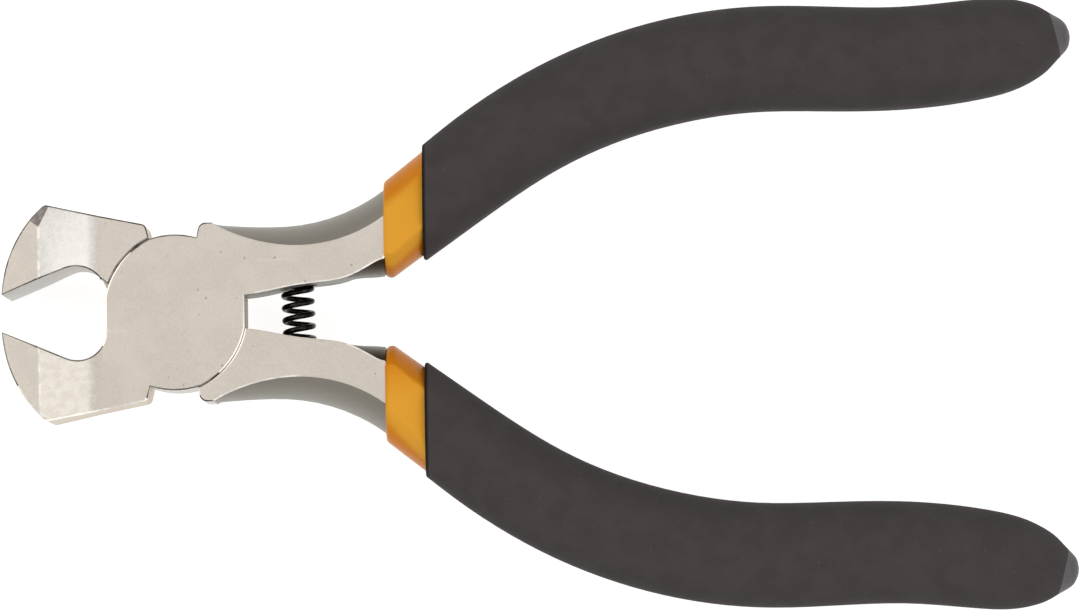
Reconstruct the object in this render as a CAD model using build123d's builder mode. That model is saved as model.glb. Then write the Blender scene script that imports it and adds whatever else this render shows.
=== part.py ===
"""Precision end-cutting pliers with a lap joint, a coil return spring and two-layer grips.

Millimetres. The pivot axis is +Z through the origin, which lies on the rear joint face.
The handles point along +X and the jaws along -X. The tool is drawn sprung open.
The front lever carries the upper handle and the lower jaw. The rear lever is the same
forging turned over about the tool's long axis.
"""

from build123d import *
from math import asin, cos, radians, sin, sqrt, tan
import os

os.makedirs("parts", exist_ok=True)

# Joint of two half laps that turn on one rivet
joint_thickness = 9.0
lap_gap = 0.06
lap_crown_radius = 8.15
lap_arc_radius = 8.62
lap_arc_offset = 1.2
lap_wall_reach = 7.25
seam_clearance = 0.08
rivet_radius = 2.4
rivet_head_radius = 3.0
rivet_head_depth = 1.1
rivet_clearance = 0.03

# Jaws, whose edges stand across the tool's end
opening_angle = 12.4
edge_distance = 18.0
edge_width = 13.5
jaw_corner_x = 13.4
jaw_corner_y = 11.3
jaw_corner_rounding = 0.6
jaw_heel_x = 3.0
jaw_heel_y = 9.2
jaw_heel_foot_x = 2.6
jaw_heel_foot_y = 7.5
jaw_heel_rounding = 0.6
nose_bulge = 1.05
throat_distance = 10.2
throat_radius = 2.95
throat_relief_angle = 50.0
flare_start_x = 8.4
flare_end_x = 14.0
flare_rounding = 4.0
corner_facet_x = 13.8
corner_facet_y = 8.8
corner_facet_tilt = 10.0
corner_facet_heading = 53.0

# Shank between the joint and the grip: rounded forged sides, flat ground faces
shoulder_x = 2.2
shoulder_lean = 0.4
shoulder_rounding = 0.8
shoulder_end_x = 4.0
crotch_y = 1.72
inner_side_slope = 9.2
side_waist_x = 10.5
side_waist_y = 9.04
side_joint_radius = 70.0
side_tang_radius = 19.0
face_waist_x = 13.0
face_waist_y = 6.83
face_joint_radius = 17.5
face_tang_radius = 15.2
inner_bevel_x = 18.0
inner_bevel_width = 1.6
inner_end_slope = 3.6
grind_allowance = 0.1
least_side_bulge = 0.04

# Return spring and its two blind pockets
spring_x = 12.8
spring_wire = 0.6
spring_outer_diameter = 3.55
spring_pitch = 1.3
pocket_depth = 2.1
pocket_clearance = 0.2
spring_end_gap = 0.03

# Handle: the tang, the inner sleeve moulded over it and the outer grip over both
collar_x = 21.85
collar_rounding = 0.7
grip_start_x = 25.95
grip_start_y = 11.35
grip_rise_angle = 35.6
grip_rise_length = 8.3
grip_bend_radius = 53.2
grip_crest_angle = -1.6
grip_crest_length = 6.1
grip_flick_radius = 69.0
grip_flick_angle = 8.6
grip_end_length = 10.8
grip_start_width = 10.0
grip_full_width = 10.95
grip_full_distance = 36.0
grip_nose_width = 10.35
grip_thickness = 12.0
grip_thinning = 0.8
grip_corner_share = 0.42
grip_rim_rounding = 0.25
nose_length = 9.6
nose_cut_share = 0.875
nub_radius = 2.4
nub_length = 1.75
sleeve_wall = 0.8
sleeve_flat_step = 0.3
sleeve_start_width = 8.9
sleeve_end_width = 6.2
sleeve_end_thickness = 7.0
sleeve_end_cap = 3.0
core_spans = 6
tang_length = 52.0

half_thickness = joint_thickness / 2
edge_x = edge_distance * cos(radians(opening_angle / 2))
edge_y = edge_distance * sin(radians(opening_angle / 2))
past_everything = 12 * edge_distance
mid_plane = Plane.XY.offset(half_thickness)
turn_over = (180, 0, 0)


def lap_outline(clearance):
    """Plan of a lap: a crowned disc narrowed by two arcs and two flat walls."""
    with BuildSketch() as outline:
        Circle(lap_crown_radius + clearance)
        for side in (1, -1):
            with Locations((side * lap_arc_offset, 0)):
                Circle(lap_arc_radius + clearance, mode=Mode.INTERSECT)
        Rectangle(2 * (lap_wall_reach + clearance), past_everything, mode=Mode.INTERSECT)
    return outline.sketch


def rivet_section(clearance):
    """Half of the rivet's lengthwise section, with a countersunk head at both faces."""
    shaft = rivet_radius + clearance
    head = rivet_head_radius + clearance
    with BuildSketch(Plane.XZ) as section:
        with BuildLine():
            Polyline(
                (0, 0),
                (head, 0),
                (shaft, rivet_head_depth),
                (shaft, joint_thickness - rivet_head_depth),
                (head, joint_thickness),
                (0, joint_thickness),
                close=True,
            )
        make_face()
    return section.sketch


def hollow(x, waist_x, waist_y, joint_radius, tang_radius):
    """Height at x of a hollow side: two arcs that meet level at its waist."""
    radius = joint_radius if x < waist_x else tang_radius
    return waist_y + radius - sqrt(radius**2 - (x - waist_x) ** 2)


def outer_side(x):
    """Outer silhouette of the shank, at mid-thickness."""
    return hollow(x, side_waist_x, side_waist_y, side_joint_radius, side_tang_radius)


def outer_face_edge(x):
    """Where the ground face ends on the outer side."""
    edge = hollow(x, face_waist_x, face_waist_y, face_joint_radius, face_tang_radius)
    return min(edge, outer_side(x) - least_side_bulge)


def inner_side(x):
    """Inner silhouette of the shank: straight from the crotch, then easing near the grip."""
    straight = (min(x, inner_bevel_x) - lap_wall_reach) * tan(radians(inner_side_slope))
    eased = max(0.0, x - inner_bevel_x) * tan(radians(inner_end_slope))
    return crotch_y + straight + eased


def inner_face_edge(x):
    """Where the ground face ends on the inner side, which bevels off near the grip."""
    share = max(0.0, (x - inner_bevel_x) / (collar_x - inner_bevel_x))
    return inner_side(x) + least_side_bulge + inner_bevel_width * share


def upright(x):
    """Plane across the tool at x, whose own axes are the tool's Y and Z."""
    return Plane((x, 0, half_thickness), x_dir=(0, 1, 0), z_dir=(1, 0, 0))


def barrel_section(plane, inner, inner_flat, outer_flat, outer, reach):
    """Two flats joined by bulging sides, for the shank, the tang and the inner sleeve."""
    with BuildSketch(plane) as section:
        with BuildLine():
            ThreePointArc((outer_flat, -reach), (outer, 0), (outer_flat, reach))
            Line((outer_flat, reach), (inner_flat, reach))
            ThreePointArc((inner_flat, reach), (inner, 0), (inner_flat, -reach))
            Line((inner_flat, -reach), (outer_flat, -reach))
        make_face()
    return section.sketch


def shank_section(x):
    """Section of the shank, a little thicker than its ground faces leave it."""
    reach = half_thickness + grind_allowance
    spread = (reach / half_thickness) ** 2
    outer = outer_side(x)
    inner = inner_side(x)
    outer_flat = outer - (outer - outer_face_edge(x)) * spread
    inner_flat = inner + (inner_face_edge(x) - inner) * spread
    return barrel_section(upright(x), inner, inner_flat, outer_flat, outer, reach)


# Jaw: its plan, its flared cheeks and the small ground facet on one outer corner
throat_turn = asin(throat_radius / (edge_x - throat_distance))


def on_throat(angle):
    """Point on the throat's arc, the angle counted from the joint side."""
    x = throat_radius * cos(angle) - throat_distance
    return (x, -edge_y - throat_radius * sin(angle))


edge_point = (-edge_x, -edge_y)
jaw_corner = (-jaw_corner_x, -jaw_corner_y)
nose_chord = Vector(*edge_point) - Vector(*jaw_corner)
nose_out = Vector(-nose_chord.Y, nose_chord.X).normalized()
nose_point = Vector(*jaw_corner) + nose_chord / 2 + nose_out * nose_bulge
bevel_end = on_throat(radians(90) + throat_turn)

with BuildPart() as jaw:
    with BuildSketch(mid_plane) as jaw_plan:
        with BuildLine():
            Polyline(
                on_throat(0),
                (-jaw_heel_foot_x, -edge_y),
                (-jaw_heel_foot_x, -jaw_heel_foot_y),
                (-jaw_heel_x, -jaw_heel_y),
                jaw_corner,
            )
            ThreePointArc(jaw_corner, nose_point, edge_point)
            Line(edge_point, bevel_end)
            ThreePointArc(bevel_end, on_throat(radians(45)), on_throat(0))
        make_face()
        fillet(jaw_plan.vertices().sort_by_distance((-jaw_heel_x, -jaw_heel_y))[0], jaw_heel_rounding)
        fillet(jaw_plan.vertices().sort_by_distance(jaw_corner)[0], jaw_corner_rounding)
    extrude(amount=edge_width / 2, both=True)
    with BuildSketch(Plane.XZ) as cheeks:
        with BuildLine():
            for side in (1, -1):
                Polyline(
                    (0, half_thickness + side * half_thickness),
                    (-flare_start_x, half_thickness + side * half_thickness),
                    (-flare_end_x, half_thickness + side * edge_width / 2),
                    (-past_everything, half_thickness + side * edge_width / 2),
                )
            Line((0, 0), (0, joint_thickness))
            Line(
                (-past_everything, half_thickness + edge_width / 2),
                (-past_everything, half_thickness - edge_width / 2),
            )
        make_face()
        flare_starts = cheeks.vertices().filter_by_position(
            Axis.X, -flare_start_x - 0.01, -flare_start_x + 0.01
        )
        fillet(flare_starts, flare_rounding)
    extrude(amount=past_everything, both=True, mode=Mode.INTERSECT)
    facet_lean = sin(radians(corner_facet_tilt))
    facet_normal = (
        facet_lean * cos(radians(corner_facet_heading)),
        -facet_lean * sin(radians(corner_facet_heading)),
        -cos(radians(corner_facet_tilt)),
    )
    facet_point = (-corner_facet_x, -corner_facet_y, half_thickness - edge_width / 2)
    split(bisect_by=Plane(facet_point, z_dir=facet_normal), keep=Keep.BOTTOM)

# Centreline of the upper handle, from the grip's start to its tip
with BuildLine(mid_plane) as centreline:
    rise = PolarLine((grip_start_x, grip_start_y), grip_rise_length, grip_rise_angle)
    bend = JernArc(rise @ 1, rise % 1, grip_bend_radius, grip_crest_angle - grip_rise_angle)
    crest = PolarLine(bend @ 1, grip_crest_length, grip_crest_angle)
    flick = JernArc(crest @ 1, crest % 1, grip_flick_radius, grip_flick_angle - grip_crest_angle)
    PolarLine(flick @ 1, grip_end_length, grip_flick_angle)
handle_line = centreline.wires()[0]
handle_length = handle_line.length


def across(distance):
    """Plane across the handle, this far along its centreline from the grip's start."""
    heading = handle_line % (distance / handle_length)
    return Plane(handle_line @ (distance / handle_length), (-heading.Y, heading.X, 0), heading)


def core_section(distance, inset):
    """Section of the inner sleeve's outside, or of the tang when inset by the sleeve's wall."""
    share = distance / sleeve_length
    width = sleeve_start_width + (sleeve_end_width - sleeve_start_width) * share
    thickness = sleeve_start_thickness + (sleeve_end_thickness - sleeve_start_thickness) * share
    half_width = width / 2 - inset
    reach = thickness / 2 - inset
    return barrel_section(
        across(distance), -half_width, -half_width / 2, half_width / 2, half_width, reach
    )


def core_sections(inset, length):
    """Sections from the grip's start plane to the core's end."""
    half_width = (sleeve_start_width / 2 - inset) / cos(radians(grip_rise_angle))
    first = barrel_section(
        upright(grip_start_x),
        grip_start_y - half_width,
        grip_start_y - half_width / 2,
        grip_start_y + half_width / 2,
        grip_start_y + half_width,
        sleeve_start_thickness / 2 - inset,
    )
    spacing = (length - grip_rise_length) / core_spans
    distances = [grip_rise_length + n * spacing for n in range(core_spans + 1)]
    return [first] + [core_section(distance, inset) for distance in distances]


# Shank, shoulder and tang: sections up to the collar and on inside the sleeve
sleeve_length = tang_length + sleeve_end_cap
sleeve_start_thickness = joint_thickness + 2 * sleeve_wall
shank_stations = [
    shoulder_end_x,
    (shoulder_end_x + side_waist_x) / 2,
    side_waist_x,
    (side_waist_x + inner_bevel_x) / 2,
    inner_bevel_x,
    (inner_bevel_x + collar_x) / 2,
    collar_x,
]
shoulder_top = (shoulder_x + shoulder_lean, outer_side(shoulder_end_x))
with BuildPart() as shank:
    loft([shank_section(x) for x in shank_stations])
    loft([shank_section(collar_x)] + core_sections(sleeve_wall, tang_length))
    with BuildSketch(mid_plane):
        Rectangle(past_everything, past_everything)
    extrude(amount=half_thickness, both=True, mode=Mode.INTERSECT)
    with BuildSketch(mid_plane) as shoulder_plan:
        with BuildLine():
            Polyline(
                (shoulder_x, lap_wall_reach / 2),
                (shoulder_x, lap_wall_reach),
                shoulder_top,
                (shoulder_end_x, outer_side(shoulder_end_x)),
                (shoulder_end_x, lap_wall_reach / 2),
                close=True,
            )
        make_face()
        fillet(shoulder_plan.vertices().sort_by_distance(shoulder_top)[0], shoulder_rounding)
    extrude(amount=half_thickness, both=True)

# One forging serves as either lever: a lap at the front, a recess for the other lap behind
pocket_radius = spring_outer_diameter / 2 + pocket_clearance
pocket_floor_y = inner_side(spring_x) + pocket_depth
relief_angle = radians(throat_relief_angle)
relief_start = on_throat(relief_angle)
relief_end = (
    relief_start[0] + throat_radius * sin(relief_angle),
    relief_start[1] + throat_radius * cos(relief_angle),
)
with BuildPart() as forging:
    extrude(lap_outline(0), amount=joint_thickness)
    add(jaw)
    add(shank)
    with BuildSketch():
        add(lap_outline(seam_clearance))
        with BuildLine():
            Polyline(
                relief_start, relief_end, (relief_end[0], 0), (relief_start[0], 0), close=True
            )
        make_face()
    extrude(amount=half_thickness + lap_gap / 2, mode=Mode.SUBTRACT)
    with BuildSketch(Plane.XZ):
        with Locations((spring_x, half_thickness)):
            Circle(pocket_radius)
    extrude(amount=-pocket_floor_y, mode=Mode.SUBTRACT)

with BuildPart() as front_lever:
    add(forging)
    revolve(rivet_section(0), Axis.Z, mode=Mode.SUBTRACT)

with BuildPart() as rear_lever:
    with Locations((0, 0, joint_thickness)):
        add(forging, rotation=turn_over)
    revolve(rivet_section(rivet_clearance), Axis.Z, mode=Mode.SUBTRACT)

with BuildPart() as pivot_rivet:
    revolve(rivet_section(0), Axis.Z)

# Return spring: a coil between the pocket floors, its ends ground flat
spring_low_y = spring_end_gap - pocket_floor_y
coil_radius = (spring_outer_diameter - spring_wire) / 2
with BuildPart() as return_spring:
    with BuildLine() as coil:
        Helix(
            spring_pitch,
            pocket_floor_y - spring_low_y,
            coil_radius,
            center=(spring_x, spring_low_y, half_thickness),
            direction=(0, 1, 0),
        )
    with BuildSketch(Plane(coil.line @ 0, z_dir=coil.line % 0)):
        Circle(spring_wire / 2)
    sweep(path=coil.line, is_frenet=True)
    with BuildSketch(Plane.XZ.offset(-pocket_floor_y)):
        with Locations((spring_x, half_thickness)):
            Circle(spring_outer_diameter)
    extrude(amount=pocket_floor_y - spring_low_y, mode=Mode.INTERSECT)

# Inner sleeve: moulded over the tang, its rim standing out of the grip as a rounded collar
rim = barrel_section(
    upright(collar_x),
    inner_side(collar_x) - sleeve_wall,
    inner_face_edge(collar_x) - sleeve_flat_step,
    outer_face_edge(collar_x) + sleeve_flat_step,
    outer_side(collar_x) + sleeve_wall,
    sleeve_start_thickness / 2,
)
core_outline = core_sections(0, sleeve_length)
with BuildPart() as core:
    loft([rim] + core_outline)

with BuildPart() as collar:
    loft([rim, core_outline[0]])
    fillet(faces().sort_by(Axis.X)[0].edges(), collar_rounding)

with BuildPart() as sleeve:
    add(core)
    split(bisect_by=Plane.YZ.offset(grip_start_x), keep=Keep.TOP)
    add(collar)
    add(forging, mode=Mode.SUBTRACT)


def grip_width(distance):
    """Width of the grip: it swells from its start, then eases off towards the nose."""
    if distance < grip_full_distance:
        share = distance / grip_full_distance
        return grip_start_width + (grip_full_width - grip_start_width) * share**2 * (3 - 2 * share)
    share = (distance - grip_full_distance) / (nose_start - grip_full_distance)
    return grip_full_width - (grip_full_width - grip_nose_width) * share**2


def grip_section(distance, scale=1.0):
    """Rounded section across the grip, for its body or, scaled, for its nose."""
    width = grip_width(min(distance, nose_start)) * scale
    thickness = (grip_thickness - grip_thinning * distance / nose_start) * scale
    with BuildSketch(across(distance)) as section:
        RectangleRounded(width, thickness, grip_corner_share * min(width, thickness))
    return section.sketch


# Outer grip: from its upright rim along the bent handle to the nose and its nub
nub_start = handle_length - nub_length
nose_start = nub_start - nose_length * nose_cut_share
grip_sections = [grip_section(nose_start * n / 8) for n in range(1, 9)]
for n in range(1, 5):
    nose_share = nose_cut_share * sqrt(n / 4)
    nose_scale = sqrt(1 - nose_share**2)
    grip_sections.append(grip_section(nose_start + nose_length * nose_share, nose_scale))
nub_base_angle = asin(1 - nub_length / nub_radius)
for n in range(1, 5):
    nub_angle = nub_base_angle + (radians(80) - nub_base_angle) * n / 4
    nub_distance = handle_length - nub_radius * (1 - sin(nub_angle))
    grip_sections.append(grip_section(nub_distance, 2 * nub_radius * cos(nub_angle) / grip_nose_width))
with BuildPart() as grip:
    with BuildSketch(upright(grip_start_x)) as grip_rim:
        with Locations((grip_start_y, 0)):
            rim_width = grip_start_width / cos(radians(grip_rise_angle))
            RectangleRounded(rim_width, grip_thickness, grip_corner_share * grip_thickness)
    loft([grip_rim.sketch] + grip_sections)
    fillet(faces().sort_by(Axis.X)[0].edges(), grip_rim_rounding)
    add(core, mode=Mode.SUBTRACT)

front_lever.part.label = "front_lever"
rear_lever.part.label = "rear_lever"
pivot_rivet.part.label = "pivot_rivet"
return_spring.part.label = "return_spring"
export_step(front_lever.part, "parts/front_lever.step")
export_step(rear_lever.part, "parts/rear_lever.step")
export_step(pivot_rivet.part, "parts/pivot_rivet.step")
export_step(return_spring.part, "parts/return_spring.step")

# The front lever's sleeve and grip are the upper pair; turned over, they are the lower pair
for coat, name in ((sleeve, "inner_sleeve"), (grip, "outer_grip")):
    with BuildPart() as upper_coat:
        add(coat)
    with BuildPart() as lower_coat:
        with Locations((0, 0, joint_thickness)):
            add(coat, rotation=turn_over)
    upper_coat.part.label = "upper_" + name
    lower_coat.part.label = "lower_" + name
    export_step(upper_coat.part, f"parts/upper_{name}.step")
    export_step(lower_coat.part, f"parts/lower_{name}.step")
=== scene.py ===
"""Looks of a pair of precision end-cutting pliers: steel, spring, sleeves, grips and a plain studio.

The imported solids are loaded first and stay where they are. Lengths are metres, in the solids' own
frame: the pivot axis is +Z through the origin, the handles point along +X and the jaws along -X.
"""

from math import radians

import bmesh
import bpy
from bpy.props import FloatProperty, FloatVectorProperty, IntProperty, PointerProperty
from mathutils import Color, Matrix, Quaternion, Vector


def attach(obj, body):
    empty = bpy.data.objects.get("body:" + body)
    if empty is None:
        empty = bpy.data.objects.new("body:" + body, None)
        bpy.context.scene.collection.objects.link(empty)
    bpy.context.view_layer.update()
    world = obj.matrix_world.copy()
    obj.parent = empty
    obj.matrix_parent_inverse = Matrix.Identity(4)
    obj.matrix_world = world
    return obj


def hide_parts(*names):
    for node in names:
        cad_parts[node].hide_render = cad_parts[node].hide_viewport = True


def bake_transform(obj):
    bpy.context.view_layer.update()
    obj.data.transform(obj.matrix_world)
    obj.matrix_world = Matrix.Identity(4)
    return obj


bl_info = {
    "name": "Precision Pliers",
    "version": (1, 0, 0),
    "blender": (4, 5, 0),
    "location": "3D View > Sidebar > Pliers",
    "description": "Finishes, return spring and plain studio for lap-jointed end-cutting pliers",
    "category": "Object",
}

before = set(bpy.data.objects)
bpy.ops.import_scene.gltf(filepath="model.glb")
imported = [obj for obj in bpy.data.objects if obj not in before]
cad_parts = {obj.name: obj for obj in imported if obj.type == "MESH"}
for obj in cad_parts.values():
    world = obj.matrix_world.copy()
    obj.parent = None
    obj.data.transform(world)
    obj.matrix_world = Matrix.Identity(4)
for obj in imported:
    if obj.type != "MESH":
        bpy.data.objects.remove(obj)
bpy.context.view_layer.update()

mm = 0.001
merge_distance = 0.0002 * mm
white = (1.0, 1.0, 1.0, 1.0)

# Places on the levers, by which their surfaces are told apart
mid_plane_z = 4.5 * mm
joint_face_height = 4.5 * mm
flare_height = joint_face_height + 1.0 * mm
rivet_keep_out = 3.4 * mm
lap_reach = 8.9 * mm
lap_radius = 8.2 * mm
ramp_start_x = -6.9 * mm
flare_end_x = -14.0 * mm
shoulder_end_x = 4.0 * mm
heel_foot_x = -2.6 * mm
crown_y = 6.5 * mm
outer_wall_y = 8.0 * mm
inner_bevel_x = 18.0 * mm

# How far a face's normal points along an axis, from 0 for not at all to 1 for straight along it
level_facing = 0.9995
ramp_facing = 0.85
ramp_turn = 0.05
down_facing = 0.5

# Angles over which neighbouring faces meet in a sharp edge
steel_sharp_angle = radians(18)
wire_sharp_angle = radians(60)
plastic_sharp_angle = radians(50)


def screen_colour(red, green, blue):
    """Linear colour from the 0 to 255 levels that a screen shows."""
    return tuple(Color((red / 255, green / 255, blue / 255)).from_srgb_to_scene_linear())


def colour(name, description, levels):
    """Colour setting with its default given as screen levels."""
    return FloatVectorProperty(
        name=name,
        description=description,
        default=screen_colour(*levels),
        size=3,
        min=0.0,
        max=1.0,
        subtype="COLOR",
    )


def length(name, description, millimetres):
    """Length setting with its default given in millimetres."""
    return FloatProperty(
        name=name,
        description=description,
        default=millimetres * mm,
        min=0.0,
        unit="LENGTH",
        precision=5,
    )


def share(name, description, default):
    """Setting between 0 and 1."""
    return FloatProperty(
        name=name,
        description=description,
        default=default,
        min=0.0,
        max=1.0,
        subtype="FACTOR",
    )


def angle(name, description, degrees):
    """Angle setting with its default given in degrees."""
    return FloatProperty(
        name=name,
        description=description,
        default=radians(degrees),
        subtype="ANGLE",
    )


def power(name, description, watts):
    """Power setting of a lamp, in watts."""
    return FloatProperty(
        name=name,
        description=description,
        default=watts,
        min=0.0,
        unit="POWER",
    )


class SteelSettings(bpy.types.PropertyGroup):
    """Colours and edge sizes of the two forged levers and the rivet."""

    ground: colour("Ground", "Satin ground faces of the joint and shanks", (202, 193, 182))
    worn: colour("Worn", "Cloudy patches on the ground faces", (206, 197, 187))
    # Painted highlight on the ramps, stronger on the upper jaw than on the lower one
    upper_ramp: colour("Upper Ramp", "Polished ramp on the upper jaw", (211, 207, 202))
    lower_ramp: colour("Lower Ramp", "Polished ramp on the lower jaw", (192, 185, 176))
    land: colour("Land", "Flat lands on both sides of the jaws", (210, 201, 189))
    wall: colour("Wall", "Upright walls of the jaws and the joint", (185, 181, 175))
    # Painted highlight: the jaws' outer sides are lighter than the ground faces
    outer_wall: colour("Outer Wall", "Outer sides of the jaws, beside their broken edge", (222, 216, 208))
    # Painted shade, darkest in patches, on the dark broken edges
    deepest_edge_shade: colour("Burnt Edge", "Darkest patches on the dark broken edges", (74, 69, 63))
    # Forged sides: their own darker forged finish, lightened near the silhouette by a painted reflection and
    # darkened next to the ground faces by painted shade
    forged: colour("Forged", "Bulging forged sides near the silhouette", (142, 140, 132))
    forged_side_shade: colour("Forging Scale", "Forged sides next to the ground faces", (128, 123, 114))
    # Painted shade on the bevel beside the collar, on the inner side
    collar_shade: colour("Hollow", "Dark bevel beside the collar on the inner side", (72, 62, 48))
    # Painted shade: the small corner facets are ground steel, darker here
    facet: colour("Facet", "Small ground facet on a jaw corner", (150, 142, 134))
    bright_edge: colour("Bright Edge", "Broken edges that catch the light", (238, 232, 224))
    # Painted shade on the broken edges along the outline and in the lap's seam
    shaded_edge: colour("Dark Edge", "Broken edges along the outline", (128, 122, 114))
    edge_width: length("Edge Width", "Width of the broken edges", 0.15)
    edge_depth: length("Edge Depth", "Depth of the broken edges", 0.07)
    roughness: share("Roughness", "Roughness of the ground faces", 0.34)


class SpringSettings(bpy.types.PropertyGroup):
    """Sizes and colour of the return spring."""

    wire: length("Wire", "Diameter of the wire", 0.6)
    outside: length("Outside Diameter", "Diameter over the coils", 3.55)
    pitch: length("Pitch", "Rise of one open turn", 1.3)
    place_x: length("Place", "Distance of its axis from the pivot", 12.75)
    low_y: length("Lower End", "How far it reaches below the middle", 4.69)
    high_y: length("Upper End", "How far it reaches above the middle", 4.72)
    turn_steps: IntProperty(name="Steps", description="Steps in one turn", default=32, min=8, max=96)
    wire_sides: IntProperty(name="Sides", description="Sides of the round wire", default=12, min=6, max=32)
    lean: angle("Lean", "How far the coil leans in its pockets", 2.0)
    phase: angle("Phase", "Turn of the coil about its own axis", 69.0)
    oxide: colour("Oxide", "Black oxide on the wire", (26, 24, 23))
    bare: colour("Rubbed Oxide", "Oxide rubbed thin", (50, 47, 44))


class SleeveSettings(bpy.types.PropertyGroup):
    """Colours of the inner sleeves, and where the collars that show end."""

    orange: colour("Orange", "Main colour of the sleeves", (238, 168, 54))
    # Painted shade: a deeper orange down the sleeves' sides
    shaded_orange: colour("Deep Orange", "Sleeve colour down its sides", (222, 134, 22))
    collar_end_x: length("Collar End", "Distance from the pivot to where the grips start", 26.0)
    roughness: share("Roughness", "Roughness of the sleeves", 0.3)
    # Lean of the painted shade towards +Y
    lean: share("Lean", "How far the deep orange leans towards +Y", 0.2)


class GripSettings(bpy.types.PropertyGroup):
    """Colours of the outer grips and the places of their rims and nubs."""

    dark: colour("Dark", "Main colour of the grips", (73, 68, 67))
    shade: colour("Shade", "Cloudy patches on the grips", (69, 64, 63))
    speck: colour("Speck", "Fine light specks in the grips", (112, 106, 102))
    # Painted shadow where each grip starts
    rim_shadow: colour("Rim", "Dark line where each grip starts", (26, 24, 23))
    rim_x: length("Rim Place", "Distance of the grips' start from the pivot", 25.95)
    # Painted highlight along the border of each nub
    nub: colour("Nub", "Light border of the nub at each grip's end", (82, 78, 79))
    nub_start_x: length("Nub Start", "Distance of the nubs from the pivot", 92.6)
    nub_slope: share("Nub Slope", "How far the outer end of each nub's border lies back", 0.25)
    roughness: share("Roughness", "Roughness of the grips", 0.78)


class StudioSettings(bpy.types.PropertyGroup):
    """Camera, lamps and floor."""

    floor: colour("Floor", "Colour of the floor", (205, 205, 205))
    floor_glow: share("Floor Glow", "How much the floor is lifted towards white where it is seen", 0.78)
    floor_z: length("Floor Depth", "Depth of the floor under the rear joint face", 2.25)
    camera_distance: length("Camera Distance", "Distance from the camera to the tool", 700.0)
    camera_elevation: angle("Camera Elevation", "Height angle of the camera over the floor", 87.0)
    camera_roll: angle("Camera Roll", "Turn of the camera about its own line of sight", -0.75)
    camera_lens: FloatProperty(
        name="Camera Lens",
        description="Focal length in millimetres, on a sensor 36 mm wide",
        default=222.22,
        min=1.0,
    )
    room_light: share("Room Light", "Strength of the light that comes from all round", 0.62)
    left_lamp: power("Left Lamp", "Power of the lamp on the jaws' side", 1.2)
    right_lamp: power("Right Lamp", "Power of the lamp on the grips' side", 1.2)


# Shader node groups shared by the finishes
def new_group(name, inputs, outputs):
    """Empty shader node group with its named sockets, and its end nodes."""
    group = bpy.data.node_groups.new(name, "ShaderNodeTree")
    for label, kind, value in inputs:
        socket = group.interface.new_socket(label, in_out="INPUT", socket_type=kind)
        if value is not None:
            socket.default_value = value
    for label, kind in outputs:
        group.interface.new_socket(label, in_out="OUTPUT", socket_type=kind)
    return group, group.nodes.new("NodeGroupInput"), group.nodes.new("NodeGroupOutput")


def scaled_coordinates(group, start):
    """Object coordinates turned into millimetres inside a group."""
    scaled = group.nodes.new("ShaderNodeVectorMath")
    scaled.operation = "SCALE"
    scaled.inputs["Scale"].default_value = 1 / mm
    group.links.new(start.outputs["Coordinates"], scaled.inputs[0])
    return scaled.outputs["Vector"]


def math_node(group, operation, first, second):
    """Math node between two values, each a socket or a number."""
    node = group.nodes.new("ShaderNodeMath")
    node.operation = operation
    for socket, value in zip(node.inputs, (first, second)):
        if isinstance(value, (int, float)):
            socket.default_value = value
        else:
            group.links.new(value, socket)
    return node.outputs["Value"]


def noise(group, coordinates, size, detail):
    """Noise whose patches are about this many millimetres across."""
    node = group.nodes.new("ShaderNodeTexNoise")
    node.inputs["Detail"].default_value = detail
    group.links.new(coordinates, node.inputs["Vector"])
    group.links.new(math_node(group, "DIVIDE", 1.0, size), node.inputs["Scale"])
    return node.outputs["Fac"]


def scattered_spots(group, coordinates, size, amount):
    """Mask of small spots of mixed sizes: this share of the cells of this size holds one."""
    core_reach = 0.03
    smallest_reach = 0.06
    reach_spread = 0.2
    cells = group.nodes.new("ShaderNodeTexVoronoi")
    group.links.new(coordinates, cells.inputs["Vector"])
    group.links.new(math_node(group, "DIVIDE", 1.0, size), cells.inputs["Scale"])
    chance = group.nodes.new("ShaderNodeSeparateColor")
    group.links.new(cells.outputs["Color"], chance.inputs["Color"])
    chosen = math_node(group, "LESS_THAN", chance.outputs["Red"], amount)
    growth = math_node(group, "MULTIPLY", chance.outputs["Green"], reach_spread)
    reach = math_node(group, "ADD", growth, smallest_reach)
    distance = cells.outputs["Distance"]
    nearness = map_range(group, distance, core_reach, reach, low_result=1.0, high_result=0.0)
    return math_node(group, "MULTIPLY", chosen, nearness)


def map_range(group, value, low, high, low_result=0.0, high_result=1.0):
    """Smooth change from one result to another as the value goes from low to high."""
    node = group.nodes.new("ShaderNodeMapRange")
    node.interpolation_type = "SMOOTHSTEP"
    limits = ("From Min", "From Max", "To Min", "To Max")
    for label, number in zip(limits, (low, high, low_result, high_result)):
        if isinstance(number, (int, float)):
            node.inputs[label].default_value = number
        else:
            group.links.new(number, node.inputs[label])
    group.links.new(value, node.inputs["Value"])
    return node.outputs["Result"]


def mix_colours(group, factor, first, second, blend="MIX"):
    """Colour mixed from two colours by a factor."""
    node = group.nodes.new("ShaderNodeMix")
    node.data_type = "RGBA"
    node.blend_type = blend
    # The node names its colour and number sockets alike, so they are taken by their places
    factor_place, first_place, second_place, result_place = 0, 6, 7, 2
    for place, value in ((factor_place, factor), (first_place, first), (second_place, second)):
        if isinstance(value, (int, float, tuple)):
            node.inputs[place].default_value = value
        else:
            group.links.new(value, node.inputs[place])
    return node.outputs[result_place]


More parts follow.
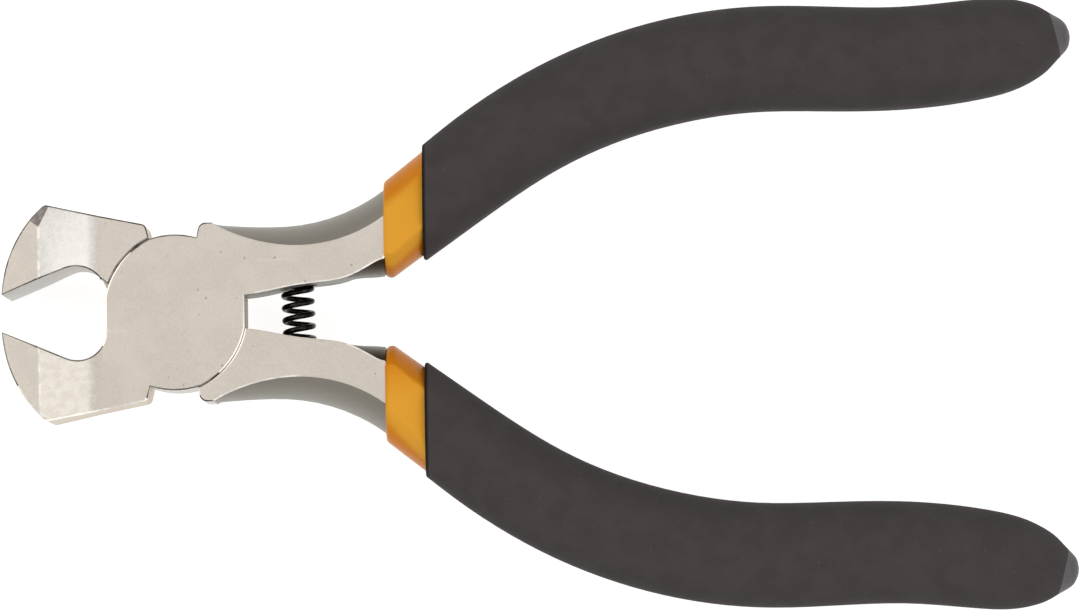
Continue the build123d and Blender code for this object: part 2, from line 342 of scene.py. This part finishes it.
def steel_group():
    """Ground or forged steel: cloudy colour, small pits and faint scratches."""
    group, start, end = new_group(
        "Worked Steel",
        (
            ("Coordinates", "NodeSocketVector", None),
            ("Colour", "NodeSocketColor", None),
            ("Cloud Colour", "NodeSocketColor", None),
            ("Cloud Size", "NodeSocketFloat", 2.5),
            ("Cloud Amount", "NodeSocketFloat", 1.0),
            ("Pit Size", "NodeSocketFloat", 0.7),
            ("Pit Amount", "NodeSocketFloat", 0.2),
            ("Pit Darkness", "NodeSocketFloat", 0.3),
            ("Scratch Amount", "NodeSocketFloat", 0.2),
            ("Roughness", "NodeSocketFloat", 0.35),
        ),
        (
            ("Colour", "NodeSocketColor"),
            ("Roughness", "NodeSocketFloat"),
            ("Height", "NodeSocketFloat"),
        ),
    )
    pit_colour = (0.02, 0.018, 0.016, 1.0)
    scratch_colour = (0.86, 0.84, 0.8, 1.0)
    scratch_turn = radians(63)
    scratch_stretch = (0.12, 2.2, 0.3)
    grain_height = 0.25

    coordinates = scaled_coordinates(group, start)
    patches = noise(group, coordinates, size=start.outputs["Cloud Size"], detail=4.0)
    clouds = map_range(group, patches, low=0.38, high=0.62)
    clouds = math_node(group, "MULTIPLY", clouds, start.outputs["Cloud Amount"])
    clouded = mix_colours(group, clouds, start.outputs["Colour"], start.outputs["Cloud Colour"])
    grain = noise(group, coordinates, size=0.28, detail=3.0)
    speckle = map_range(group, grain, low=0.3, high=0.7, low_result=0.97, high_result=1.03)
    speckled = mix_colours(group, 1.0, clouded, speckle, "MULTIPLY")

    pits = scattered_spots(group, coordinates, start.outputs["Pit Size"], start.outputs["Pit Amount"])
    dark = math_node(group, "MULTIPLY", pits, start.outputs["Pit Darkness"])
    pitted = mix_colours(group, dark, speckled, pit_colour)

    stretch = group.nodes.new("ShaderNodeMapping")
    stretch.inputs["Rotation"].default_value = (0.0, 0.0, scratch_turn)
    stretch.inputs["Scale"].default_value = scratch_stretch
    group.links.new(coordinates, stretch.inputs["Vector"])
    lines = noise(group, stretch.outputs["Vector"], size=1.0, detail=2.0)
    scratches = map_range(group, lines, low=0.68, high=0.74)
    scratches = math_node(group, "MULTIPLY", scratches, start.outputs["Scratch Amount"])
    scratched = mix_colours(group, scratches, pitted, scratch_colour)

    spread = map_range(group, grain, low=0.3, high=0.7, low_result=-0.05, high_result=0.05)
    roughness = math_node(group, "ADD", start.outputs["Roughness"], spread)
    raised = math_node(group, "MULTIPLY", grain, grain_height)
    group.links.new(scratched, end.inputs["Colour"])
    group.links.new(roughness, end.inputs["Roughness"])
    group.links.new(math_node(group, "SUBTRACT", raised, pits), end.inputs["Height"])
    return group


def plastic_group():
    """Moulded plastic: cloudy colour, fine specks and an even grain."""
    group, start, end = new_group(
        "Moulded Plastic",
        (
            ("Coordinates", "NodeSocketVector", None),
            ("Colour", "NodeSocketColor", None),
            ("Cloud Colour", "NodeSocketColor", None),
            ("Cloud Size", "NodeSocketFloat", 3.0),
            ("Speck Colour", "NodeSocketColor", None),
            ("Speck Size", "NodeSocketFloat", 0.5),
            ("Speck Amount", "NodeSocketFloat", 0.1),
            ("Grain Size", "NodeSocketFloat", 0.2),
            ("Roughness", "NodeSocketFloat", 0.5),
        ),
        (
            ("Colour", "NodeSocketColor"),
            ("Roughness", "NodeSocketFloat"),
            ("Height", "NodeSocketFloat"),
        ),
    )
    speck_strength = 0.35

    coordinates = scaled_coordinates(group, start)
    patches = noise(group, coordinates, size=start.outputs["Cloud Size"], detail=4.0)
    clouds = map_range(group, patches, low=0.36, high=0.64)
    clouded = mix_colours(group, clouds, start.outputs["Colour"], start.outputs["Cloud Colour"])
    specks = scattered_spots(group, coordinates, start.outputs["Speck Size"], start.outputs["Speck Amount"])
    faint = math_node(group, "MULTIPLY", specks, speck_strength)
    specked = mix_colours(group, faint, clouded, start.outputs["Speck Colour"])

    grain = noise(group, coordinates, size=start.outputs["Grain Size"], detail=2.0)
    spread = map_range(group, grain, low=0.3, high=0.7, low_result=-0.06, high_result=0.06)
    roughness = math_node(group, "ADD", start.outputs["Roughness"], spread)
    group.links.new(specked, end.inputs["Colour"])
    group.links.new(roughness, end.inputs["Roughness"])
    group.links.new(grain, end.inputs["Height"])
    return group


def graded_group():
    """Two colours graded by the distance in millimetres from a plane across a direction."""
    group, start, end = new_group(
        "Graded Colour",
        (
            ("Coordinates", "NodeSocketVector", None),
            ("Direction", "NodeSocketVector", (0.0, 0.0, 1.0)),
            ("Plane", "NodeSocketFloat", 0.0),
            ("Near", "NodeSocketFloat", 0.0),
            ("Far", "NodeSocketFloat", 1.0),
            ("Near Colour", "NodeSocketColor", None),
            ("Far Colour", "NodeSocketColor", None),
        ),
        (("Colour", "NodeSocketColor"),),
    )
    coordinates = scaled_coordinates(group, start)
    reach = group.nodes.new("ShaderNodeVectorMath")
    reach.operation = "DOT_PRODUCT"
    group.links.new(coordinates, reach.inputs[0])
    group.links.new(start.outputs["Direction"], reach.inputs[1])
    offset = math_node(group, "SUBTRACT", reach.outputs["Value"], start.outputs["Plane"])
    distance = math_node(group, "ABSOLUTE", offset, 0.0)
    factor = map_range(group, distance, start.outputs["Near"], start.outputs["Far"])
    graded = mix_colours(group, factor, start.outputs["Near Colour"], start.outputs["Far Colour"])
    group.links.new(graded, end.inputs["Colour"])
    return group


def shared_group(name, maker):
    """Node group of this name, made once."""
    return bpy.data.node_groups.get(name) or maker()


def opaque(rgb):
    """Colour with full alpha, for a node socket."""
    return (rgb[0], rgb[1], rgb[2], 1.0)


def shader_inputs(material):
    """Sockets of a material's main shader."""
    return material.node_tree.nodes["Principled BSDF"].inputs


def finish(name, effect_group, values, bump, gradings):
    """Material whose colour, roughness and bump come from a node group with its own values."""
    material = bpy.data.materials.new(name)
    material.use_nodes = True
    tree = material.node_tree
    coordinates = tree.nodes.new("ShaderNodeTexCoord").outputs["Object"]
    effect = tree.nodes.new("ShaderNodeGroup")
    effect.node_tree = effect_group
    tree.links.new(coordinates, effect.inputs["Coordinates"])
    for label, value in values.items():
        effect.inputs[label].default_value = value
    for label, grading in gradings:
        graded = tree.nodes.new("ShaderNodeGroup")
        graded.node_tree = shared_group("Graded Colour", graded_group)
        tree.links.new(coordinates, graded.inputs["Coordinates"])
        for graded_label, value in grading.items():
            graded.inputs[graded_label].default_value = value
        tree.links.new(graded.outputs["Colour"], effect.inputs[label])
    relief = tree.nodes.new("ShaderNodeBump")
    relief.inputs["Distance"].default_value = bump
    tree.links.new(effect.outputs["Height"], relief.inputs["Height"])
    shader = shader_inputs(material)
    tree.links.new(effect.outputs["Colour"], shader["Base Color"])
    tree.links.new(effect.outputs["Roughness"], shader["Roughness"])
    tree.links.new(relief.outputs["Normal"], shader["Normal"])
    return material


def socket_values(values):
    """Values under the labels of a group's sockets, such as Cloud Size for cloud_size."""
    return {label.replace("_", " ").title(): value for label, value in values.items()}


def graded_pair(grading, near, far):
    """One grading of both the main and the cloud colour, from a near pair of colours to a far pair."""
    gradings = []
    for label, near_colour, far_colour in zip(("Colour", "Cloud Colour"), near, far):
        colours = {"Near Colour": opaque(near_colour), "Far Colour": opaque(far_colour)}
        gradings.append((label, {**grading, **colours}))
    return gradings


def steel_finish(name, values, gradings=()):
    """Bare steel of one of the tool's surfaces."""
    if name in bpy.data.materials:
        return bpy.data.materials[name]
    steel_bump = 0.01 * mm
    material = finish(name, shared_group("Worked Steel", steel_group), values, steel_bump, gradings)
    shader_inputs(material)["Metallic"].default_value = 1.0
    return material


def plain_steel(name, main, cloud, **values):
    """Steel of one main colour and one cloud colour."""
    colours = {"Colour": opaque(main), "Cloud Colour": opaque(cloud)}
    return steel_finish(name, {**colours, **socket_values(values)})


def graded_steel(name, near, far, grading, **values):
    """Steel that goes from a near to a far pair of main and cloud colours."""
    return steel_finish(name, socket_values(values), graded_pair(grading, near, far))


def ground_steel(settings):
    """Satin ground faces of the joint and shanks."""
    return plain_steel(
        "ground_faces",
        settings.ground,
        settings.worn,
        cloud_size=3.5,
        pit_size=0.8,
        pit_amount=0.2,
        pit_darkness=0.5,
        scratch_amount=0.1,
        roughness=settings.roughness,
    )


def ramp_steel(settings, level, ramp):
    """Polished ramp up to a jaw's land, in its own colour in the middle and like ground steel beyond; the
    brighter middle is a painted highlight.
    """
    across_ramp = {"Direction": (1.0, 0.0, 0.0), "Plane": -12.0, "Near": 2.9, "Far": 4.7}
    return graded_steel(
        level + "_ramp",
        (ramp, settings.bright_edge),
        (settings.ground, settings.worn),
        across_ramp,
        cloud_size=0.7,
        cloud_amount=0.16,
        pit_size=0.9,
        pit_amount=0.2,
        pit_darkness=0.3,
        scratch_amount=0.4,
        roughness=0.32,
    )


def side_steel(name, near, far):
    """Forged sides, graded from the mid-plane to the ground faces as painted reflection and painted shade.
    """
    above_middle = {"Plane": mid_plane_z / mm, "Near": 1.0, "Far": 4.3}
    return graded_steel(
        name,
        (near, near),
        (far, far),
        above_middle,
        pit_size=1.2,
        pit_amount=0.2,
        pit_darkness=0.3,
        scratch_amount=0.0,
        roughness=0.5,
    )


def outer_wall_steel(settings):
    """Outer sides of the jaws, lighter as a painted highlight, which keep some of their tint where they are
    seen at a low angle.
    """
    material = plain_steel(
        "outer_walls",
        settings.outer_wall,
        settings.land,
        cloud_size=1.5,
        cloud_amount=0.4,
        pit_size=0.9,
        roughness=0.36,
    )
    shader_inputs(material)["Specular Tint"].default_value = opaque(settings.land)
    return material


def lever_finishes(settings, jaw_level, ramp):
    """Finishes of a lever's surfaces, in the order of the names from GROUND to OUTER_WALL."""
    return [
        ground_steel(settings),
        ramp_steel(settings, jaw_level, ramp),
        plain_steel("jaw_land", settings.land, settings.worn, cloud_size=1.2, pit_size=1.1, pit_amount=0.2),
        plain_steel("upright_walls", settings.wall, settings.ground, cloud_amount=0.3, roughness=0.4),
        # Forged sides with painted reflection and painted shade
        side_steel("forged_sides", settings.forged, settings.forged_side_shade),
        # Painted shade on the corner facets
        plain_steel("corner_facets", settings.facet, settings.shaded_edge, cloud_size=0.5, pit_amount=0.5),
        plain_steel(
            "bright_edges",
            settings.bright_edge,
            settings.upper_ramp,
            cloud_size=1.2,
            pit_amount=0.1,
        ),
        # Painted shade on the broken edges along the outline, darkest in patches
        plain_steel("shaded_edges", settings.shaded_edge, settings.deepest_edge_shade, cloud_size=1.4, roughness=0.45),
        # Painted shade on the bevel beside the collar
        side_steel("collar_bevel", settings.forged, settings.collar_shade),
        outer_wall_steel(settings),
    ]


def plastic_finish(name, values, bump, gradings):
    """Moulded plastic of a sleeve or a grip."""
    if name in bpy.data.materials:
        return bpy.data.materials[name]
    return finish(name, shared_group("Moulded Plastic", plastic_group), values, bump, gradings)


def orange_plastic(settings, level, middle_y):
    """Glossy orange of an inner sleeve, with painted shade down its sides, most of all on the side towards
    +Y.
    """
    plane = (mid_plane_z - settings.lean * middle_y) / mm
    # Painted shade graded down the sleeve's sides
    side_shade_grading = {"Direction": (0.0, -settings.lean, 1.0), "Plane": plane, "Near": 4.0, "Far": 5.25}
    material = plastic_finish(
        level + "_orange_plastic",
        {
            "Cloud Size": 3.0,
            "Speck Colour": opaque(settings.shaded_orange),
            "Speck Amount": 0.05,
            "Grain Size": 0.5,
            "Roughness": settings.roughness,
        },
        bump=0.004 * mm,
        gradings=graded_pair(side_shade_grading, [settings.shaded_orange] * 2, [settings.orange] * 2),
    )
    shader_inputs(material)["Specular IOR Level"].default_value = 0.05
    return material


def dark_plastic(settings):
    """Matt dark plastic of the outer grips, with a fine grain and a painted shadow line at its start."""
    rim_shadow_grading = {"Direction": (1.0, 0.0, 0.0), "Plane": settings.rim_x / mm, "Near": 0.15, "Far": 0.45}
    material = plastic_finish(
        "dark_plastic",
        {
            "Cloud Size": 2.6,
            "Speck Colour": opaque(settings.speck),
            "Speck Size": 0.6,
            "Speck Amount": 0.2,
            "Grain Size": 0.18,
            "Roughness": settings.roughness,
        },
        bump=0.02 * mm,
        gradings=graded_pair(rim_shadow_grading, [settings.rim_shadow] * 2, [settings.dark, settings.shade]),
    )
    shader_inputs(material)["Specular IOR Level"].default_value = 0.12
    return material


def nub_plastic(settings):
    """Smoother plastic of the nub at a grip's end, with a painted highlight along its border."""
    from_border = {"Direction": (1.0, 0.0, 0.0), "Plane": settings.nub_start_x / mm, "Near": 0.3, "Far": 1.3}
    return plastic_finish(
        "nub_plastic",
        {
            "Cloud Size": 1.6,
            "Speck Colour": opaque(settings.speck),
            "Speck Amount": 0.05,
            "Grain Size": 0.3,
            "Roughness": 0.55,
        },
        bump=0.006 * mm,
        gradings=graded_pair(from_border, [settings.nub] * 2, [settings.dark, settings.shade]),
    )


# Meshes: each of these is the place of a finish in the list that lever_finishes gives
GROUND, RAMP, LAND, WALL, FORGED, FACET, BRIGHT_EDGE, SHADED_EDGE, COLLAR_BEVEL, OUTER_WALL = range(10)


def closed_copy(node):
    """Closed bmesh copy of a solid, whose own mesh is loose triangles."""
    form = bmesh.new()
    form.from_mesh(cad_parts[node].data)
    for face in form.faces:
        face.material_index = 0
    bmesh.ops.remove_doubles(form, verts=form.verts, dist=merge_distance)
    return form


def finished_piece(form, name, materials, sharp_angle=plastic_sharp_angle):
    """Object at the origin from a finished bmesh, smooth but for its sharp edges."""
    mesh = bpy.data.meshes.new(name)
    form.to_mesh(mesh)
    form.free()
    split_normals = mesh.attributes.get("custom_normal")
    if split_normals:
        mesh.attributes.remove(split_normals)
    for material in materials:
        mesh.materials.append(material)
    mesh.shade_smooth()
    mesh.set_sharp_from_angle(angle=sharp_angle)
    piece = bpy.data.objects.new(name, mesh)
    bpy.context.scene.collection.objects.link(piece)
    return piece


def keep_flats_flat(piece):
    """Weighted normals, so that rounded rims don't shade the flat faces beside them."""
    weighted = piece.modifiers.new("flat faces", "WEIGHTED_NORMAL")
    weighted.keep_sharp = True
    weighted.weight = 80


def cut_across(form, place, facing):
    """Cuts every face along a plane, and leaves both sides joined."""
    everything = form.verts[:] + form.edges[:] + form.faces[:]
    bmesh.ops.bisect_plane(form, geom=everything, dist=merge_distance, plane_co=place, plane_no=facing)


def steel_region(face):
    """Which of the levers' finishes a face takes, from where it is and how it faces."""
    place = face.calc_center_median()
    normal = face.normal
    if abs(normal.z) > level_facing:
        return LAND if place.x < flare_end_x else GROUND
    if place.x < ramp_start_x and abs(normal.z) > ramp_facing:
        return RAMP if normal.x > 0 and abs(normal.y) < ramp_turn else FACET
    if place.x < heel_foot_x and abs(place.y) > outer_wall_y and normal.y * place.y > 0:
        return OUTER_WALL
    if place.x < shoulder_end_x:
        return WALL
    if place.x > inner_bevel_x and normal.y * place.y < 0:
        return COLLAR_BEVEL
    return FORGED


def on_ground_side(face, side):
    """True for the flat and flared ground faces on one side of the tool."""
    lowest = min((vert.co.z - mid_plane_z) * side for vert in face.verts)
    tolerance = 0.001 * mm
    return face.normal.z * side > ramp_facing and lowest > joint_face_height - tolerance


def edge_region(ring_face, ring, on_front):
    """Finish of one piece of broken edge: painted shade along the outline and in the lap's seam, painted
    highlight where it would catch the light.
    """
    place = ring_face.calc_center_median()
    beside = [face for edge in ring_face.edges for face in edge.link_faces if face not in ring]
    regions = {face.material_index for face in beside}
    # Painted shade in part of the lap's seam, ground steel in the rest
    if place.xy.length < (lap_radius if on_front else lap_reach):
        dark = abs(place.y) > crown_y if on_front else place.x < 0
        return SHADED_EDGE if dark else GROUND
    if regions <= {GROUND, RAMP, LAND}:
        return GROUND
    facing_down = any(face.normal.y < -down_facing for face in beside)
    # Painted shade beside the walls, painted highlight beside the collar bevel and beside faces towards -Y
    if WALL in regions or OUTER_WALL in regions and not facing_down:
        return SHADED_EDGE
    return BRIGHT_EDGE if COLLAR_BEVEL in regions or facing_down else GROUND


def break_edges(form, width, depth, on_front):
    """Breaks the outlines of the ground faces with a narrow inset ring whose outer side is lowered."""
    for side in (1, -1):
        ground = [face for face in form.faces if on_ground_side(face, side)]
        inset = bmesh.ops.inset_region(form, faces=ground, thickness=width, use_even_offset=False)
        ring = set(inset["faces"])
        inner = {vert for face in ground for vert in face.verts}
        outer = {vert for face in ring for vert in face.verts} - inner
        for vert in outer:
            if vert.co.xy.length > rivet_keep_out:
                vert.co.z -= side * depth
        form.normal_update()
        for face in ring:
            face.material_index = edge_region(face, ring, on_front)


def break_ramp_edge(form, width):
    """Breaks the crest where each ramp meets its land, and gives the faces along it the painted highlight of
    the bright edges, so that it shows as a bright line.
    """
    for x in (flare_end_x - width / 2, flare_end_x + width / 2):
        cut_across(form, (x, 0, 0), (1, 0, 0))
    crest_tolerance = 0.01 * mm
    drop = 0.11 * width
    for vert in form.verts:
        height = vert.co.z - mid_plane_z
        on_crest = abs(vert.co.x - flare_end_x) < crest_tolerance
        if on_crest and abs(height) > flare_height:
            vert.co.z -= drop if height > 0 else -drop
    form.normal_update()
    # Faces along the crest take the painted highlight of the bright edges
    for face in form.faces:
        near_crest = abs(face.calc_center_median().x - flare_end_x) < width / 2
        if near_crest and face.material_index in (RAMP, LAND):
            face.material_index = BRIGHT_EDGE


def mark_nub(form, start_x, slope):
    """Cuts a clean border across a grip where its nub starts, and gives the nub its own finish."""
    end_y = [vert.co.y for vert in form.verts if vert.co.x > start_x]
    border = Vector((start_x, (min(end_y) + max(end_y)) / 2, mid_plane_z))
    facing = Vector((1.0, slope, 0.0)).normalized()
    cut_across(form, border, facing)
    for face in form.faces:
        beyond = (face.calc_center_median() - border).dot(facing) > 0
        face.material_index = 1 if beyond else 0


class PLIERS_OT_levers(bpy.types.Operator):
    """Dress the two forged levers in ground and forged steel with broken edges"""

    bl_idname = "pliers.levers"
    bl_label = "Levers"

    def execute(self, context):
        settings = context.scene.pliers_steel
        # Each lever's ramp colour is a painted highlight
        ramps = {"front": ("lower", settings.lower_ramp), "rear": ("upper", settings.upper_ramp)}
        for body, (jaw_level, ramp) in ramps.items():
            form = closed_copy(body + "_lever")
            for face in form.faces:
                face.material_index = steel_region(face)
            break_ramp_edge(form, 2 * settings.edge_width)
            on_front = body == "front"
            break_edges(form, settings.edge_width, settings.edge_depth, on_front)
            finishes = lever_finishes(settings, jaw_level, ramp)
            piece = finished_piece(form, body + "_lever_steel", finishes, steel_sharp_angle)
            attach(piece, body)
            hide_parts(body + "_lever")
        return {"FINISHED"}


class PLIERS_OT_rivet(bpy.types.Operator):
    """Give the flush rivet the ground steel of the joint's faces"""

    bl_idname = "pliers.rivet"
    bl_label = "Rivet"

    def execute(self, context):
        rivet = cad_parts["pivot_rivet"]
        rivet.material_slots[0].material = ground_steel(context.scene.pliers_steel)
        return {"FINISHED"}


def wound_coil(settings):
    """Coil of round wire along Y: one closed turn, the open turns and one more closed turn."""
    wire_radius = settings.wire / 2
    coil_radius = (settings.outside - settings.wire) / 2
    centre = Vector((settings.place_x, 0.0, mid_plane_z))
    start = (settings.place_x + coil_radius, wire_radius - settings.low_y, mid_plane_z)
    form = bmesh.new()
    ring = bmesh.ops.create_circle(
        form,
        cap_ends=True,
        segments=settings.wire_sides,
        radius=wire_radius,
        matrix=Matrix.Translation(start),
    )
    start_cap = list({face for vert in ring["verts"] for face in vert.link_faces})
    last = start_cap
    # Both closed turns rise by one wire, and half a wire lies beyond each end of the path
    open_height = settings.low_y + settings.high_y - 3 * settings.wire
    closed_turn = (1.0, settings.wire)
    open_turns = (open_height / settings.pitch, settings.pitch)
    for turns, pitch in (closed_turn, open_turns, closed_turn):
        steps = round(turns * settings.turn_steps)
        wound = bmesh.ops.spin(
            form,
            geom=last,
            cent=centre,
            axis=(0.0, 1.0, 0.0),
            dvec=(0.0, pitch * turns / steps, 0.0),
            angle=radians(360) * turns,
            steps=steps,
            use_merge=False,
            use_duplicate=False,
        )
        if last is not start_cap:
            # The face that this stretch started from would stay inside the wire
            bmesh.ops.delete(form, geom=last, context="FACES_ONLY")
        last = [part for part in wound["geom_last"] if isinstance(part, bmesh.types.BMFace)]
    for turn, axis in ((settings.phase, "Y"), (settings.lean, "Z")):
        bmesh.ops.rotate(form, verts=form.verts, cent=centre, matrix=Matrix.Rotation(turn, 3, axis))
    bmesh.ops.recalc_face_normals(form, faces=form.faces)
    return form


class PLIERS_OT_spring(bpy.types.Operator):
    """Wind the return spring with closed end coils between its two pockets"""

    bl_idname = "pliers.spring"
    bl_label = "Return Spring"

    def execute(self, context):
        settings = context.scene.pliers_spring
        form = wound_coil(settings)
        oxide = steel_finish(
            "spring_oxide",
            {
                "Colour": opaque(settings.oxide),
                "Cloud Colour": opaque(settings.bare),
                "Cloud Size": 0.8,
                "Pit Amount": 0.2,
                "Roughness": 0.3,
            },
        )
        piece = finished_piece(form, "return_spring_coil", [oxide], wire_sharp_angle)
        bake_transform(piece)
        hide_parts("return_spring")
        return {"FINISHED"}


class PLIERS_OT_sleeves(bpy.types.Operator):
    """Dress the two inner sleeves in glossy orange"""

    bl_idname = "pliers.sleeves"
    bl_label = "Inner Sleeves"

    def execute(self, context):
        settings = context.scene.pliers_sleeve
        for level, body in (("upper", "front"), ("lower", "rear")):
            form = closed_copy(level + "_inner_sleeve")
            across = [vert.co.y for vert in form.verts if vert.co.x < settings.collar_end_x]
            orange = orange_plastic(settings, level, (min(across) + max(across)) / 2)
            piece = finished_piece(form, level + "_sleeve_plastic", [orange])
            keep_flats_flat(piece)
            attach(piece, body)
            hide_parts(level + "_inner_sleeve")
        return {"FINISHED"}


class PLIERS_OT_grips(bpy.types.Operator):
    """Dress the two outer grips in dark plastic with smoother nubs"""

    bl_idname = "pliers.grips"
    bl_label = "Outer Grips"

    def execute(self, context):
        settings = context.scene.pliers_grip
        for level, body in (("upper", "front"), ("lower", "rear")):
            form = closed_copy(level + "_outer_grip")
            slope = settings.nub_slope if level == "upper" else -settings.nub_slope
            mark_nub(form, settings.nub_start_x, slope)
            materials = [dark_plastic(settings), nub_plastic(settings)]
            piece = finished_piece(form, level + "_grip_plastic", materials)
            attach(piece, body)
            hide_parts(level + "_outer_grip")
        return {"FINISHED"}


def soft_lamp(name, watts, width, place, target):
    """Square soft lamp aimed at a point."""
    light = bpy.data.lights.new(name, "AREA")
    light.energy = watts
    light.size = width
    lamp = bpy.data.objects.new(name, light)
    lamp.location = place
    lamp.rotation_euler = (target - place).to_track_quat("-Z", "Y").to_euler()
    bpy.context.scene.collection.objects.link(lamp)


def seen_directly(tree):
    """Value of 1 for camera, glossy and transmission rays, and 0 for the rays that light things."""
    path = tree.nodes.new("ShaderNodeLightPath")
    seen = path.outputs["Is Camera Ray"]
    for label in ("Is Glossy Ray", "Is Transmission Ray"):
        seen = math_node(tree, "MAXIMUM", seen, path.outputs[label])
    return seen


def pale_floor(settings):
    """Wide sheet of paper, which glows a little where it is seen so that it comes out white."""
    half_width = 1500 * mm
    form = bmesh.new()
    bmesh.ops.create_grid(form, x_segments=1, y_segments=1, size=half_width)
    bmesh.ops.translate(form, verts=form.verts, vec=(0.0, 0.0, -settings.floor_z))
    paper = bpy.data.materials.new("floor_paper")
    paper.use_nodes = True
    shader = shader_inputs(paper)
    shader["Base Color"].default_value = opaque(settings.floor)
    shader["Roughness"].default_value = 0.9
    shader["Specular IOR Level"].default_value = 0.0
    shader["Emission Color"].default_value = white
    tree = paper.node_tree
    glow = math_node(tree, "MULTIPLY", seen_directly(tree), settings.floor_glow)
    tree.links.new(glow, shader["Emission Strength"])
    floor = finished_piece(form, "floor", [paper])


def white_surround(scene, settings):
    """World that is seen as plain white and lights the tool less strongly than that."""
    world = bpy.data.worlds.new("white_surround")
    scene.world = world
    world.use_nodes = True
    tree = world.node_tree
    background = tree.nodes["Background"].inputs
    background["Color"].default_value = white
    strength = map_range(tree, seen_directly(tree), low=0.0, high=1.0, low_result=settings.room_light)
    tree.links.new(strength, background["Strength"])


def photo_camera(scene, settings, target):
    """Camera at the photo's place, high over the tool and turned a little."""
    data = bpy.data.cameras.new("camera")
    data.lens = settings.camera_lens
    data.sensor_width = 36.0
    data.clip_start = 10 * mm
    camera = bpy.data.objects.new("camera", data)
    tilt = Matrix.Rotation(radians(90) - settings.camera_elevation, 3, "X")
    camera.location = target + tilt @ Vector((0.0, 0.0, settings.camera_distance))
    aim = (target - camera.location).to_track_quat("-Z", "Y")
    camera.rotation_mode = "QUATERNION"
    camera.rotation_quaternion = aim @ Quaternion((0.0, 0.0, 1.0), settings.camera_roll)
    scene.collection.objects.link(camera)
    scene.camera = camera


class PLIERS_OT_studio(bpy.types.Operator):
    """Set up the pale floor, the white surround, the soft lamps and the camera"""

    bl_idname = "pliers.studio"
    bl_label = "Studio"

    def execute(self, context):
        settings = context.scene.pliers_studio
        scene = context.scene
        scene.view_settings.view_transform = "Standard"
        target = Vector((38.1 * mm, 0.394 * mm, mid_plane_z))
        left_place = target + Vector((-0.55, 0.15, 0.5))
        right_place = target + Vector((0.5, -0.25, 0.5))
        lamp_width = 0.5
        pale_floor(settings)
        white_surround(scene, settings)
        soft_lamp("left_lamp", settings.left_lamp, lamp_width, left_place, target)
        soft_lamp("right_lamp", settings.right_lamp, lamp_width, right_place, target)
        photo_camera(scene, settings, target)
        return {"FINISHED"}


class PLIERS_PT_workshop(bpy.types.Panel):
    """Lists the steps that dress the pliers"""

    bl_label = "Precision Pliers"
    bl_idname = "PLIERS_PT_workshop"
    bl_space_type = "VIEW_3D"
    bl_region_type = "UI"
    bl_category = "Pliers"

    def draw(self, context):
        for step in ("levers", "rivet", "spring", "sleeves", "grips", "studio"):
            self.layout.operator("pliers." + step)


setting_groups = {
    "pliers_steel": SteelSettings,
    "pliers_spring": SpringSettings,
    "pliers_sleeve": SleeveSettings,
    "pliers_grip": GripSettings,
    "pliers_studio": StudioSettings,
}
classes = (
    *setting_groups.values(),
    PLIERS_OT_levers,
    PLIERS_OT_rivet,
    PLIERS_OT_spring,
    PLIERS_OT_sleeves,
    PLIERS_OT_grips,
    PLIERS_OT_studio,
    PLIERS_PT_workshop,
)


def register():
    """Registers the add-on's classes and puts its settings on the scene."""
    for each in classes:
        bpy.utils.register_class(each)
    for name, settings in setting_groups.items():
        setattr(bpy.types.Scene, name, PointerProperty(type=settings))


def unregister():
    """Takes the settings and classes away again."""
    for name in setting_groups:
        delattr(bpy.types.Scene, name)
    for each in reversed(classes):
        bpy.utils.unregister_class(each)


def main():
    """Builds every piece and the studio."""
    register()
    bpy.ops.pliers.levers()
    bpy.ops.pliers.rivet()
    bpy.ops.pliers.spring()
    bpy.ops.pliers.sleeves()
    bpy.ops.pliers.grips()
    bpy.ops.pliers.studio()
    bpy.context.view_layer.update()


if __name__ == "__main__":
    main()
